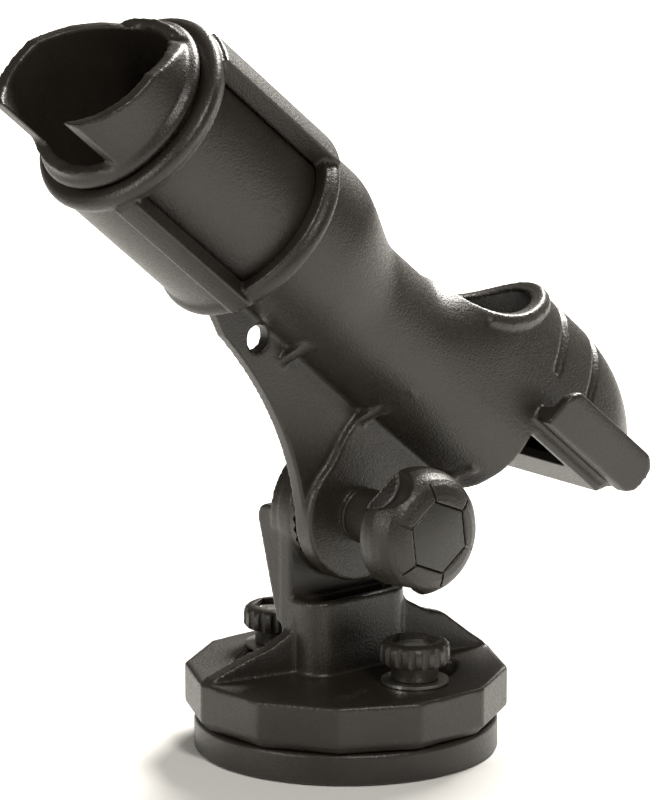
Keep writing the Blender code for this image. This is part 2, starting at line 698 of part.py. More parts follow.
def make_barrel(frame):
    """The tube's outer shape from the mouth's bead to the end of the hood, as one solid."""
    rings = [round_ring(BEAD_START, TUBE_HEIGHT, BEAD_RADIUS - 0.0015)]
    rings += [round_ring(BEAD_START + 0.001, TUBE_HEIGHT, BEAD_RADIUS)]
    rings += [round_ring(BEAD_END - 0.001, TUBE_HEIGHT, BEAD_RADIUS)]
    rings += [round_ring(BEAD_END, TUBE_HEIGHT, SEAT_RADIUS)]
    rings += [round_ring(SEAT_END, TUBE_HEIGHT, SEAT_RADIUS)]
    rings += [round_ring(SEAT_END + 0.0001, TUBE_HEIGHT + SHOULDER_RISE, SHOULDER_RADIUS)]
    for station in stations(SHOULDER_END, NECK_END, 7):
        rings.append(round_ring(station, *barrel_section(station)))
    for station in stations(HOOD_START, HOOD_START + HOOD_RISE, 7):
        rings.append(hood_ring(station, 0.0))
    turning = stations(0.0, pi / 2, 10)[:-1]
    for angle in turning:
        rings.append(hood_ring(HOOD_TOP_TURN + (HOOD_END - HOOD_TOP_TURN) * sin(angle), 0.0))
    return add_object("rod_tube", loft(rings), frame)


def under_hood(start, thickness):
    """The side view of what lies under the hood from a station on, drawn a thickness inside its skin."""
    turn = BRIDGE_END + thickness * sin(TAIL_RISE) * 0.5
    far = HOOD_END + 0.01
    height = HOOD_EDGE + thickness
    far_height = height + (far - turn) * sin(TAIL_RISE) / cos(TAIL_RISE)
    return [(start, -0.02), (far, -0.02), (far, far_height), (turn, height), (start, height)]


def make_bore(frame):
    """The hollow of the tube and of the hood, open at the mouth."""
    inner = SEAT_RADIUS - SEAT_WALL
    floor = TUBE_HEIGHT + SHOULDER_RISE - SHOULDER_RADIUS + TUBE_WALL
    ceiling = TUBE_HEIGHT + inner
    rings = [round_ring(HORN_EDGE[0][1] - 0.015, TUBE_HEIGHT, inner)]
    rings += [round_ring(SEAT_END - 0.004, TUBE_HEIGHT, inner)]
    rings += [round_ring(SEAT_END + 0.002, (floor + ceiling) / 2, (ceiling - floor) / 2)]
    for station in stations(SHOULDER_END, NECK_END, 4):
        height, radius = barrel_section(station)
        rings.append(round_ring(station, height, min(radius - TUBE_WALL, inner)))
    for station in stations(HOOD_START, HOOD_START + HOOD_RISE, 6):
        wall = mix(TUBE_WALL, HOOD_WALL, smooth((station - HOOD_START) / HOOD_RISE))
        rings.append(hood_ring(station, wall))
    for angle in stations(0.0, pi / 2, 8)[:-1]:
        reach = HOOD_END - HOOD_WALL - HOOD_TOP_TURN
        rings.append(hood_ring(HOOD_TOP_TURN + reach * sin(angle), HOOD_WALL))
    bore = add_object("tube_bore", loft(rings), frame, helper=True)
    cut(bore, plate("hood_floor", under_hood(BRIDGE_START, HOOD_WALL), -0.06, 0.06, ONTO_Y, frame))
    return bore


def mouth_outline():
    """The side view of what is cut away in front of the mouth: the notches and the horns' wavy edge."""
    ahead = HORN_EDGE[0][1] - 0.02
    outline = [(ahead, 0.0), (MOUTH_NOTCH, 0.0)]
    around = [(radians(turn), station) for turn, station in HORN_EDGE]
    outline.append((MOUTH_NOTCH, TUBE_HEIGHT - SEAT_RADIUS * cos(around[0][0])))
    for turn, station in around:
        outline.append((station, TUBE_HEIGHT - SEAT_RADIUS * cos(turn)))
    outline.append((MOUTH_NOTCH, TUBE_HEIGHT - SEAT_RADIUS * cos(around[-1][0])))
    return outline + [(MOUTH_NOTCH, 0.1), (ahead, 0.1)]


def make_horns(frame):
    """The mouth's two tips: the end of a pipe, cut across to a wavy edge."""
    pipe = cylinder(SEAT_RADIUS, HORN_EDGE[0][1] - 0.01, BEAD_END - OVERLAP, HORN_STEPS)
    bmesh.ops.transform(pipe, verts=pipe.verts, matrix=Matrix.Rotation(pi / 2, 4, "Y"))
    bmesh.ops.translate(pipe, verts=pipe.verts, vec=(0, TUBE_OFFSET, TUBE_HEIGHT))
    horns = add_object("mouth_horns", pipe, frame, helper=True)
    middle = Matrix.Translation((MOUTH_NOTCH, TUBE_OFFSET, 0))
    lean = middle @ Matrix.Rotation(HORN_LEAN, 4, "Z") @ middle.inverted()
    cut(horns, plate("mouth_profile", mouth_outline(), -0.05, 0.05, lean @ ONTO_Y, frame))
    return horns


def web_outline():
    """The web between the hub and the tube, as stations along the tube and heights."""
    meet = radians(225)
    start = Vector((SHOULDER_END - 0.004, TUBE_HEIGHT - TUBE_RADIUS - 0.0105))
    end = Vector((HUB_RADIUS * cos(meet), HUB_RADIUS * sin(meet)))
    bend = Vector(WEB_BEND)
    outline = [(SEAT_END + 0.0006, TUBE_HEIGHT - TUBE_RADIUS - 0.0060)]
    for t in stations(0.0, 1.0, 9)[:-1]:
        point = start * (1 - t) ** 2 + bend * 2 * t * (1 - t) + end * t**2
        outline.append((point.x, point.y))
    outline += arc((0, 0), HUB_RADIUS, meet, tau - radians(8), 16)
    inside = TUBE_HEIGHT - TUBE_RADIUS + TUBE_WALL / 2
    outline += [(TUBE_END - 0.002, inside - 0.006), (TUBE_END - 0.002, inside)]
    outline += [(NECK_END, inside), (SEAT_END + 0.0006, inside)]
    return outline


def gusset_outline(foot, spread, side):
    """A triangular stiffener between the web and one side of the tube, in Y and height."""
    web_face = TUBE_OFFSET + side * WEB_THICKNESS / 4
    touch = TUBE_OFFSET + side * spread
    inner = TUBE_RADIUS - TUBE_WALL / 2
    height = TUBE_HEIGHT - sqrt(inner**2 - spread**2)
    return [
        (web_face, foot),
        (touch + side * 0.0006, height - 0.0025),
        (touch, height),
        (TUBE_OFFSET + side * spread / 2, TUBE_HEIGHT - sqrt(inner**2 - spread**2 / 4)),
        (web_face, TUBE_HEIGHT - inner),
    ]


def wing_ring(station, side):
    """A section across a wing: a slanting blade joined to the hood by its lower half."""
    to_end = min(station - WING_START, WING_END - station)
    over = min(1.0, to_end / WING_ROUND + 0.02)
    size = 0.35 + 0.65 * sqrt(1 - (1 - over) ** 2)
    root = HOOD_HALF_WIDTH - HOOD_WALL / 2
    knee = mix(WING_FOOT, WING_TIP, 0.35)
    reach = WING_REACH
    shape = [
        (root, WING_FOOT + 0.0015),
        (reach - 0.0070, WING_FOOT),
        (reach - 0.0030, WING_FOOT + 0.0005),
        (reach - 0.0005, WING_TIP - 0.004),
        (reach - 0.0008, WING_TIP - 0.001),
        (reach - 0.0022, WING_TIP),
        (reach - 0.0040, WING_TIP - 0.001),
        (reach - 0.0005 - WING_THICKNESS, knee + 0.0015),
        (root, knee),
    ]
    centre = Vector((reach - 0.005, knee))
    ring = []
    for across, height in shape:
        if across > root:
            across = mix(centre.x, across, size)
            height = mix(centre.y, height, size)
        ring.append((station, TUBE_OFFSET + side * across, height))
    return ring


def make_wing(name, side, frame):
    ends = [WING_START, WING_START + 0.0015, WING_START + 0.004, WING_START + WING_ROUND]
    ends += [WING_END - WING_ROUND, WING_END - 0.004, WING_END - 0.0015, WING_END]
    return add_object(name, loft([wing_ring(station, side) for station in ends]), frame, helper=True)


def make_rod_tube(frame):
    tube = make_barrel(frame)
    front = -(WEB_BACK - WEB_THICKNESS)
    join(tube, plate("web", web_outline(), -WEB_BACK, front, ONTO_Y, frame))
    hub = cylinder(HUB_RADIUS, -HUB_TOOTH_FACE, -HUB_FRONT, ROUND)
    bmesh.ops.transform(hub, verts=hub.verts, matrix=ONTO_Y)
    join(tube, add_object("hub", hub, frame, helper=True))
    inside = TUBE_HEIGHT - TUBE_RADIUS + TUBE_WALL / 2
    foot_left, top_left, foot_right = HUB_RISE
    pad = [foot_left, foot_right, (TUBE_END - 0.003, inside), (top_left[0] + OVERLAP, inside), top_left]
    join(tube, plate("hub_rise", pad, front - OVERLAP, -HUB_FRONT, ONTO_Y, frame))
    for i, (station, foot, spread) in enumerate(GUSSETS):
        for label, side in (("near", -1), ("far", 1)):
            half = GUSSET_THICKNESS / 2
            outline = gusset_outline(foot, spread, side)
            name = "gusset_%d_%s" % (i, label)
            join(tube, plate(name, outline, station - half, station + half, ONTO_X, frame))
    join(tube, make_wing("wing_near", -1, frame))
    join(tube, make_wing("wing_far", 1, frame))
    join(tube, make_horns(frame))

    cut(tube, make_bore(frame))
    scoop = cylinder(HOOD_MOUTH_RADIUS, -0.06, 0.06, 64)
    bmesh.ops.transform(scoop, verts=scoop.verts, matrix=ONTO_Y)
    lift = TUBE_HEIGHT + TUBE_RADIUS + HOOD_MOUTH_RADIUS + GAP
    bmesh.ops.translate(scoop, verts=scoop.verts, vec=(HOOD_MOUTH_CENTRE, 0, lift))
    cut(tube, add_object("hood_mouth", scoop, frame, helper=True))
    cut(tube, plate("hood_underside", under_hood(TUBE_END, 0.0), -0.06, 0.06, ONTO_Y, frame))

    lanyard = cylinder(LANYARD_RADIUS, -0.01, 0.02, SMALL_ROUND)
    bmesh.ops.transform(lanyard, verts=lanyard.verts, matrix=ONTO_Y)
    bmesh.ops.translate(lanyard, verts=lanyard.verts, vec=(LANYARD_PLACE[0], 0, LANYARD_PLACE[1]))
    cut(tube, add_object("lanyard_hole", lanyard, frame, helper=True))

    teeth = toothed_ring("hub_teeth", -HUB_TOOTH_FACE, -1, None)
    teeth.data.transform(ONTO_Y)
    teeth.parent = frame
    join(tube, teeth)
    bore = cylinder(PIVOT_HOLE, -0.01, 0.02, SMALL_ROUND)
    bmesh.ops.transform(bore, verts=bore.verts, matrix=ONTO_Y)
    cut(tube, add_object("hub_bore", bore, frame, helper=True))
    nylon(tube)


# ---------------------------------------------------------------- collar, about its own X
def sector(name, inner, outer, low, high, start, end, axis, steps=8):
    """A block of a ring about X, between two angles measured from -Y towards +Z."""
    outline = [(-r_y, r_z) for r_y, r_z in arc((0, 0), outer, low, high, steps)]
    outline += [(-r_y, r_z) for r_y, r_z in arc((0, 0), inner, high, low, steps)]
    return plate(name, outline, start, end, ONTO_X, axis)


def make_collar(axis):
    ridge = COLLAR_RADIUS + COLLAR_RIDGE
    profile = [
        (COLLAR_START, COLLAR_RADIUS - 0.0010),
        (COLLAR_START + 0.0022, ridge),
        (COLLAR_START + 0.0040, ridge),
        (COLLAR_START + COLLAR_RIM, COLLAR_RADIUS),
        (COLLAR_END - COLLAR_RIM, COLLAR_RADIUS),
        (COLLAR_END - 0.0040, ridge - 0.0005),
        (COLLAR_END - 0.0020, ridge - 0.0005),
        (COLLAR_END, COLLAR_RADIUS - 0.0010),
    ]
    rings = []
    for station, radius in profile:
        rings.append([(station, y, z) for y, z in arc((0, 0), radius, 0.0, tau, ROUND + 1)[:-1]])
    collar = add_object("lock_collar", loft(rings), axis)

    for i in range(3):
        station = (COLLAR_START + COLLAR_END) / 2 + (i - 1) * LOBE_PITCH
        radius = COLLAR_RADIUS + LOBE_PROUD - LOBE_SIZE[2]
        bm = bmesh.new()
        bmesh.ops.create_uvsphere(bm, u_segments=16, v_segments=10, radius=1.0)
        place = (
            Matrix.Translation((station, -radius * cos(LOBE_ANGLE), radius * sin(LOBE_ANGLE)))
            @ Matrix.Rotation(LOBE_ANGLE - pi / 2, 4, "X").inverted()
            @ Matrix.Diagonal((*LOBE_SIZE, 1.0))
        )
        bmesh.ops.transform(bm, verts=bm.verts, matrix=place)
        join(collar, add_object("collar_lobe_%d" % i, bm, axis, helper=True))

    low_start = WINDOW_LOW - LOW_LIP_ARC
    high_end = WINDOW_HIGH + HIGH_LIP_ARC
    outside = COLLAR_RADIUS + LIP_HEIGHT
    inside = COLLAR_INNER + OVERLAP
    window_start = COLLAR_START + COLLAR_RIM
    window_end = COLLAR_END - COLLAR_RIM
    lip_start = window_start - 0.002
    lip_end = COLLAR_END - 0.002
    join(collar, sector("low_lip", inside, outside, low_start, WINDOW_LOW, lip_start, lip_end, axis, 4))
    join(collar, sector("high_lip", inside, outside, WINDOW_HIGH, high_end, lip_start, lip_end, axis, 6))
    reach = COLLAR_RADIUS + 3 * LIP_HEIGHT
    hollow = SEAT_RADIUS - TUBE_WALL
    cut(collar, sector("window", hollow, reach, WINDOW_LOW, WINDOW_HIGH, window_start, window_end, axis, 12))
    bore = cylinder(COLLAR_INNER, COLLAR_START - 0.01, COLLAR_END + 0.01, ROUND)
    to_axis = Matrix.Rotation(pi / 2, 4, "Y")
    bmesh.ops.transform(bore, verts=bore.verts, matrix=to_axis)
    clean = add_object("collar_bore", bore, axis, helper=True)
    cut(collar, clean)
    nylon(collar)


# ---------------------------------------------------------------- assembly
clear_scene()
PARTS = make_collection("rod_holder")
HELPERS = make_collection("cutters")
clamps = clamp_places()
make_mounting_pad(clamps)
for clamp_name, clamp_axis in clamps:
    make_clamp(clamp_name, clamp_axis)
pivot_axis = place_empty("pivot_axis", (0, 0, PIVOT_HEIGHT), (pi / 2, 0, 0))
make_swivel_base(pivot_axis)
make_pivot_hardware(pivot_axis)
make_knob(pivot_axis)
tube_frame = place_empty("tube_frame", (0, 0, PIVOT_HEIGHT), (0, TILT, 0))
make_rod_tube(tube_frame)
collar_axis = place_empty("collar_axis", (0, TUBE_OFFSET, TUBE_HEIGHT), parent=tube_frame)
make_collar(collar_axis)
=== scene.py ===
# %% [markdown]
# # A tilting rod holder for a boat
#
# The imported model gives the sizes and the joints. These cells give it its looks: finer
# copies of the moulded pieces, a moulded nylon, a stainless steel, a floor and soft light.
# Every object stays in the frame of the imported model, in metres.

# %% Load the frame
from math import cos, degrees, pi, radians, sin, sqrt, tau

import bmesh
import bpy
from mathutils import Matrix, Vector


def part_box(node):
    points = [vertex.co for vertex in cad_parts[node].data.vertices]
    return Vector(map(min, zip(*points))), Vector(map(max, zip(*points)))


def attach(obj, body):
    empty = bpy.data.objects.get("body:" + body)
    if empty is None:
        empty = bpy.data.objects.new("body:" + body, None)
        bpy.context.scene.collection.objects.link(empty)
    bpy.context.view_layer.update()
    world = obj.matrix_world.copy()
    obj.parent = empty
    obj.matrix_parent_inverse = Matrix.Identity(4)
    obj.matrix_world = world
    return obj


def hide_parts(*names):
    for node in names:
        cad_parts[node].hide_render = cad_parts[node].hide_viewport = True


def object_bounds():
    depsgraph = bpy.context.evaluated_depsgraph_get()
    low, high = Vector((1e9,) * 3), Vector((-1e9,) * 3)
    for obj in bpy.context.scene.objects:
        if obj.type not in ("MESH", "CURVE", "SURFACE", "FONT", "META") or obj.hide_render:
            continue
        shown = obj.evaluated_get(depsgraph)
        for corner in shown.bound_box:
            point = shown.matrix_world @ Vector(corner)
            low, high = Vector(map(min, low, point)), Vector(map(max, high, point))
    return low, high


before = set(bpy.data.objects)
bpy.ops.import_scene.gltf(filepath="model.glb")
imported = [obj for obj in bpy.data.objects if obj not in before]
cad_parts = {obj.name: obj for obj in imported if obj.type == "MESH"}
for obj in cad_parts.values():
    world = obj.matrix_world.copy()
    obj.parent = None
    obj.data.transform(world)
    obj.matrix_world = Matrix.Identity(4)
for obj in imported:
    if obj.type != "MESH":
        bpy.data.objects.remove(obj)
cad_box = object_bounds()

for corner in cad_box:
    print([round(1000 * value, 1) for value in corner], "mm")

# %% [markdown]
# ## The camera
#
# The camera comes first, because every other choice is judged through it. It stands a long
# way off with a long lens, so that the upright edges stay nearly parallel, and looks a little
# down at the front corner of the holder.

# %% Camera
CAMERA_AT = Vector((-1.2250, -1.4780, 0.5713))
CAMERA_RIGHT = Vector((0.77162, -0.63608, 0.0))
CAMERA_BACK = Vector((-0.6185, -0.7503, 0.23345))

camera_data = bpy.data.cameras.new("camera")
camera_data.lens = 287.1
camera_data.sensor_width = 36.0
camera_data.clip_end = 20.0
camera = bpy.data.objects.new("camera", camera_data)
bpy.context.scene.collection.objects.link(camera)
bpy.context.scene.camera = camera
back = CAMERA_BACK.normalized()
right = (CAMERA_RIGHT - back * CAMERA_RIGHT.dot(back)).normalized()
camera.matrix_world = Matrix((right, back.cross(right), back)).transposed().to_4x4()
camera.location = CAMERA_AT
print("camera", [round(value, 3) for value in camera.location])

# %% [markdown]
# ## Helpers for modelling
#
# The imported nodes are all selected, and an edit-mode operator acts on everything selected,
# so each step starts by deselecting. These few helpers add a primitive, cut or join with a
# Boolean modifier, and apply a modifier at once, as one does by hand from the modifier panel.


# %% Selecting and applying
def pick(*objects):
    """Select only these objects, the first of them active."""
    bpy.ops.object.select_all(action="DESELECT")
    for obj in objects:
        obj.select_set(True)
    bpy.context.view_layer.objects.active = objects[0]


def apply_modifier(obj, kind, **settings):
    pick(obj)
    modifier = obj.modifiers.new(kind.lower(), kind)
    for key, value in settings.items():
        setattr(modifier, key, value)
    bpy.ops.object.modifier_apply(modifier=modifier.name)


def combine(obj, other, operation):
    """Cut with, or join to, another solid, which is then deleted."""
    apply_modifier(obj, "BOOLEAN", operation=operation, solver="EXACT", object=other)
    mesh = other.data
    bpy.data.objects.remove(other, do_unlink=True)
    bpy.data.meshes.remove(mesh)


def cut(obj, *others):
    for other in others:
        combine(obj, other, "DIFFERENCE")


def join(obj, *others):
    for other in others:
        combine(obj, other, "UNION")


def place(obj, matrix):
    """Move a piece and put its place into its mesh."""
    pick(obj)
    obj.matrix_world = matrix @ obj.matrix_world
    bpy.ops.object.transform_apply(location=True, rotation=True, scale=True)


# %% Adding solids
ALONG = {"X": (0, pi / 2, 0), "Y": (pi / 2, 0, 0), "Z": (0, 0, 0)}


def rod(radius, low, high, axis="Z", centre=(0, 0), sides=64, far_radius=None):
    """A cylinder, prism or cone between two stations on one axis, as a cutter or a start."""
    middle = (low + high) / 2
    at = {"X": (middle, *centre), "Y": (centre[0], middle, centre[1]), "Z": (*centre, middle)}[axis]
    bpy.ops.object.select_all(action="DESELECT")
    bpy.ops.mesh.primitive_cone_add(
        vertices=sides,
        radius1=radius,
        radius2=radius if far_radius is None else far_radius,
        depth=high - low,
        location=at,
        rotation=ALONG[axis],
    )
    obj = bpy.context.active_object
    bpy.ops.object.transform_apply(location=True, rotation=True, scale=True)
    return obj


def trace(outline, low, high, to_place=Matrix()):
    """One vertex extruded round an outline, filled, and the face extruded to a thickness."""
    bpy.ops.object.select_all(action="DESELECT")
    bpy.ops.mesh.primitive_plane_add(size=0.001)
    obj = bpy.context.active_object
    bpy.ops.object.mode_set(mode="EDIT")
    bpy.ops.mesh.merge(type="CENTER")
    bpy.ops.transform.translate(value=(outline[0][0], outline[0][1], low))
    for (x, y), (next_x, next_y) in zip(outline, outline[1:]):
        bpy.ops.mesh.extrude_vertices_move(TRANSFORM_OT_translate={"value": (next_x - x, next_y - y, 0)})
    bpy.ops.mesh.select_all(action="SELECT")
    bpy.ops.mesh.edge_face_add()
    bpy.ops.mesh.extrude_region_move(TRANSFORM_OT_translate={"value": (0, 0, high - low)})
    bpy.ops.mesh.select_all(action="SELECT")
    bpy.ops.mesh.normals_make_consistent(inside=False)
    bpy.ops.object.mode_set(mode="OBJECT")
    place(obj, to_place)
    return obj


def lathe(profile, steps=96):
    """A profile of (radius, height) pairs spun about Z, from the axis at the top to the axis below."""
    bpy.ops.object.select_all(action="DESELECT")
    bpy.ops.mesh.primitive_plane_add(size=0.001)
    obj = bpy.context.active_object
    bpy.ops.object.mode_set(mode="EDIT")
    bpy.ops.mesh.merge(type="CENTER")
    bpy.ops.transform.translate(value=(profile[0][0], 0, profile[0][1]))
    for (radius, height), (next_radius, next_height) in zip(profile, profile[1:]):
        step = (next_radius - radius, 0, next_height - height)
        bpy.ops.mesh.extrude_vertices_move(TRANSFORM_OT_translate={"value": step})
    bpy.ops.mesh.select_all(action="SELECT")
    bpy.ops.mesh.spin(steps=steps, angle=tau, center=(0, 0, 0), axis=(0, 0, 1), use_auto_merge=True)
    bpy.ops.mesh.select_all(action="SELECT")
    bpy.ops.mesh.remove_doubles(threshold=0.00001)
    bpy.ops.mesh.normals_make_consistent(inside=False)
    bpy.ops.object.mode_set(mode="OBJECT")
    return obj


def arc(centre, radius, start, end, count):
    angles = [start + (end - start) * i / (count - 1) for i in range(count)]
    return [(centre[0] + radius * cos(a), centre[1] + radius * sin(a)) for a in angles]


def mix(a, b, t):
    return a + (b - a) * t


def smooth(t):
    t = min(1.0, max(0.0, t))
    return t * t * (3 - 2 * t)


# %% [markdown]
# ## Softening a moulding
#
# A moulded piece has no sharp edge and no sharp inner corner: the tool was cut with a radius,
# and the plastic shrinks. Bevelling every edge of a shape made of many joined pieces often
# fails, so the joined solid is remeshed in small voxels and relaxed, which rounds the outer
# edges and fills the inner corners together.


# %% Remesh and relax
MOST_TRIANGLES = 170000


def soften(obj, voxel, rounds):
    apply_modifier(obj, "REMESH", mode="VOXEL", voxel_size=voxel, use_smooth_shade=True)
    apply_modifier(obj, "SMOOTH", factor=0.5, iterations=rounds)
    count = 2 * len(obj.data.polygons)
    if count > MOST_TRIANGLES:
        apply_modifier(obj, "DECIMATE", decimate_type="COLLAPSE", ratio=MOST_TRIANGLES / count)
    obj.data.shade_smooth()
    print(obj.name, len(obj.data.polygons), "faces")


def copy_of_node(node, name):
    """A CAD node's mesh as a new object, its loose triangles merged."""
    obj = bpy.data.objects.new(name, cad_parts[node].data.copy())
    bpy.context.scene.collection.objects.link(obj)
    obj.data.materials.clear()
    pick(obj)
    bpy.ops.object.mode_set(mode="EDIT")
    bpy.ops.mesh.select_all(action="SELECT")
    bpy.ops.mesh.remove_doubles(threshold=0.000002)
    bpy.ops.object.mode_set(mode="OBJECT")
    return obj


# %% [markdown]
# ## Glass-filled nylon, as moulded
#
# Black glass-filled nylon is a dark warm grey where light falls on it. Its skin is finely
# grained by the tool, and short fibres just under the skin scatter light, so edges seen at a
# glancing angle look pale and speckled. A fine noise drives the bump, a second one varies the
# roughness, and a broad one shifts the colour a little, as flow does in the mould.


# %% Colour and node helpers
def linear(text):
    """An sRGB hex colour as a linear RGBA."""
    channels = [int(text[i : i + 2], 16) / 255 for i in (1, 3, 5)]
    curve = [c / 12.92 if c <= 0.04045 else ((c + 0.055) / 1.055) ** 2.4 for c in channels]
    return (*curve, 1.0)


def node(tree, kind, links=(), **settings):
    """Add one node. links are (socket, output) pairs, and settings are attributes or sockets."""
    made = tree.nodes.new(kind)
    for key, value in settings.items():
        if hasattr(made, key):
            setattr(made, key, value)
        else:
            made.inputs[key.replace("_", " ")].default_value = value
    for socket, output in links:
        tree.links.new(output, made.inputs[socket])
    return made


def new_material(name):
    material = bpy.data.materials.new(name)
    material.use_nodes = True
    tree = material.node_tree
    shader = tree.nodes["Principled BSDF"]
    coordinates = tree.nodes.new("ShaderNodeTexCoord").outputs["Object"]
    return material, tree, shader, coordinates


def ramp_between(ramp_node, stops):
    elements = ramp_node.color_ramp.elements
    while len(elements) < len(stops):
        elements.new(0.5)
    for element, (position, colour) in zip(elements, stops):
        element.position = position
        element.color = colour


# %% Moulded nylon
def moulded_nylon(name, dark, light, grain_mm=0.55, roughness=0.46, bump=0.10):
    material, tree, shader, coordinates = new_material(name)
    per_metre = 1000 / grain_mm
    grain = node(tree, "ShaderNodeTexNoise", [("Vector", coordinates)], Scale=per_metre, Detail=3.0)
    flow = node(tree, "ShaderNodeTexNoise", [("Vector", coordinates)], Scale=45.0, Detail=2.0)
    colour = node(tree, "ShaderNodeValToRGB", [("Fac", flow.outputs["Fac"])])
    ramp_between(colour, [(0.30, linear(dark)), (0.72, linear(light))])
    specks = node(tree, "ShaderNodeMapRange", [("Value", grain.outputs["Fac"])])
    for socket, value in (("From Min", 0.35), ("From Max", 0.70), ("To Min", roughness - 0.06)):
        specks.inputs[socket].default_value = value
    specks.inputs["To Max"].default_value = roughness + 0.10
    relief = node(tree, "ShaderNodeBump", [("Height", grain.outputs["Fac"])], Strength=bump)
    relief.inputs["Distance"].default_value = 0.0003
    tree.links.new(colour.outputs["Color"], shader.inputs["Base Color"])
    tree.links.new(specks.outputs["Result"], shader.inputs["Roughness"])
    tree.links.new(relief.outputs["Normal"], shader.inputs["Normal"])
    shader.inputs["IOR"].default_value = 1.53
    return material


NYLON = moulded_nylon("black glass-filled nylon", "#1F1B16", "#28241E", 0.7, 0.38, 0.50)
CAP_NYLON = moulded_nylon("black nylon cap", "#24221E", "#2B2924", roughness=0.40, bump=0.25)
print(NYLON.name, "and", CAP_NYLON.name)


# %% Stainless steel
# Bright stainless steel, turned and then tumbled: a metal, so its colour is that of its
# reflections, with a fine broken sheen.
def tumbled_stainless(name):
    material, tree, shader, coordinates = new_material(name)
    scratch = node(tree, "ShaderNodeTexNoise", [("Vector", coordinates)], Scale=1600.0, Detail=4.0)
    sheen = node(tree, "ShaderNodeMapRange", [("Value", scratch.outputs["Fac"])])
    sheen.inputs["To Min"].default_value = 0.22
    sheen.inputs["To Max"].default_value = 0.42
    relief = node(tree, "ShaderNodeBump", [("Height", scratch.outputs["Fac"])], Strength=0.15)
    relief.inputs["Distance"].default_value = 0.0001
    tree.links.new(sheen.outputs["Result"], shader.inputs["Roughness"])
    tree.links.new(relief.outputs["Normal"], shader.inputs["Normal"])
    shader.inputs["Base Color"].default_value = linear("#B9B7B0")
    shader.inputs["Metallic"].default_value = 1.0
    return material


STEEL = tumbled_stainless("tumbled stainless steel")


def finish_piece(obj, name, material, body, slot_name, *replaced):
    """Name a piece, give it its finish, attach it to its body, and hide the CAD nodes it stands for."""
    obj.name = name
    obj.data.name = name
    obj.data.materials.clear()
    obj.data.materials.append(material)
    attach(obj, body)
    if replaced:
        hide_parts(*replaced)
    print(name, len(obj.data.vertices), "vertices")


# %% [markdown]
# ## The tube's own frame
#
# The tube leans, so it is modelled lying along X, with its underside down, and turned into
# place at the end about the tilt pivot.

# %% Tube frame and sizes
PIVOT_HEIGHT = 0.0754
TILT = radians(40.3)
TO_TUBE = Matrix.Translation((0, 0, PIVOT_HEIGHT)) @ Matrix.Rotation(TILT, 4, "Y")
ONTO_Y = Matrix.Rotation(pi / 2, 4, "X")
ONTO_X = Matrix(((0, 0, 1, 0), (1, 0, 0, 0), (0, 1, 0, 0), (0, 0, 0, 1)))

OFFSET = -0.003
AXIS_HEIGHT = 0.0483
TUBE_RADIUS = 0.0228
TUBE_WALL = 0.0027
SEAT_RADIUS = 0.0275
SEAT_BORE = 0.0236
SEAT_END = -0.0915
SHOULDER_RISE = 0.0050
SHOULDER_RADIUS = 0.0273
SHOULDER_END = -0.0765
NECK_END = -0.046
BEAD_RADIUS = 0.0295
TUBE_END = 0.028
HOOD_START = -0.030
HOOD_RISE = 0.035
HOOD_HEIGHT = 0.0462
HOOD_HALF_WIDTH = 0.0232
HOOD_WALL = 0.0035
HOOD_TOP_TURN = 0.034
HOOD_SIDE_TURN = 0.058
HOOD_END = 0.0865
HUB_RADIUS = 0.021
RING_SIDES = 96


# %% [markdown]
# ## The barrel
#
# The real tube is one moulding: a seat for the collar, an eccentric shoulder, a narrow neck
# and a hood. A skin over rings suits it. A circle is extruded from station to station, and at
# each one its upper and lower halves are resized apart, because the hood is tall above the
# axis and round below it.


# %% Extruding a circle along stations
def select_only(obj, chosen):
    """In edit mode, select the vertices of these indices and no others."""
    mesh = bmesh.from_edit_mesh(obj.data)
    for vertex in mesh.verts:
        vertex.select_set(vertex.index in chosen)
    mesh.select_flush_mode()
    bmesh.update_edit_mesh(obj.data)


def selected(obj):
    """The place of each selected vertex, by its index."""
    mesh = bmesh.from_edit_mesh(obj.data)
    mesh.verts.index_update()
    return {vertex.index: vertex.co.copy() for vertex in mesh.verts if vertex.select}


def skin(rings, sides=RING_SIDES):
    """A solid through rings of (station, height of centre, half width, reach up, reach down)."""
    bpy.ops.object.select_all(action="DESELECT")
    bpy.ops.mesh.primitive_circle_add(vertices=sides, radius=1.0, fill_type="NGON", rotation=(0, pi / 2, 0))
    obj = bpy.context.active_object
    bpy.ops.object.transform_apply(location=True, rotation=True, scale=True)
    bpy.ops.object.mode_set(mode="EDIT")
    bpy.context.tool_settings.mesh_select_mode = (True, False, False)
    bpy.ops.mesh.select_all(action="SELECT")
    before = (0.0, 0.0, 1.0, 1.0, 1.0)
    for i, (station, height, width, up, down) in enumerate(rings):
        step = (station - before[0], OFFSET if i == 0 else 0.0, height - before[1])
        if i == 0:
            bpy.ops.transform.translate(value=step)
        else:
            bpy.ops.mesh.extrude_region_move(TRANSFORM_OT_translate={"value": step})
        centre = (station, OFFSET, height)
        bpy.ops.transform.resize(value=(1, width / before[2], 1), center_override=centre)
        ring = selected(obj)
        select_only(obj, {i for i, at in ring.items() if at.z > height})
        bpy.ops.transform.resize(value=(1, 1, up / before[3]), center_override=centre)
        select_only(obj, {i for i, at in ring.items() if at.z <= height})
        bpy.ops.transform.resize(value=(1, 1, down / before[4]), center_override=centre)
        select_only(obj, set(ring))
        before = (station, height, width, up, down)
    bpy.ops.mesh.select_all(action="SELECT")
    bpy.ops.mesh.normals_make_consistent(inside=False)
    bpy.ops.object.mode_set(mode="OBJECT")
    return obj


def round_station(station, height, radius):
    return (station, height, radius, radius, radius)


def stations(start, end, count):
    return [start + (end - start) * i / (count - 1) for i in range(count)]


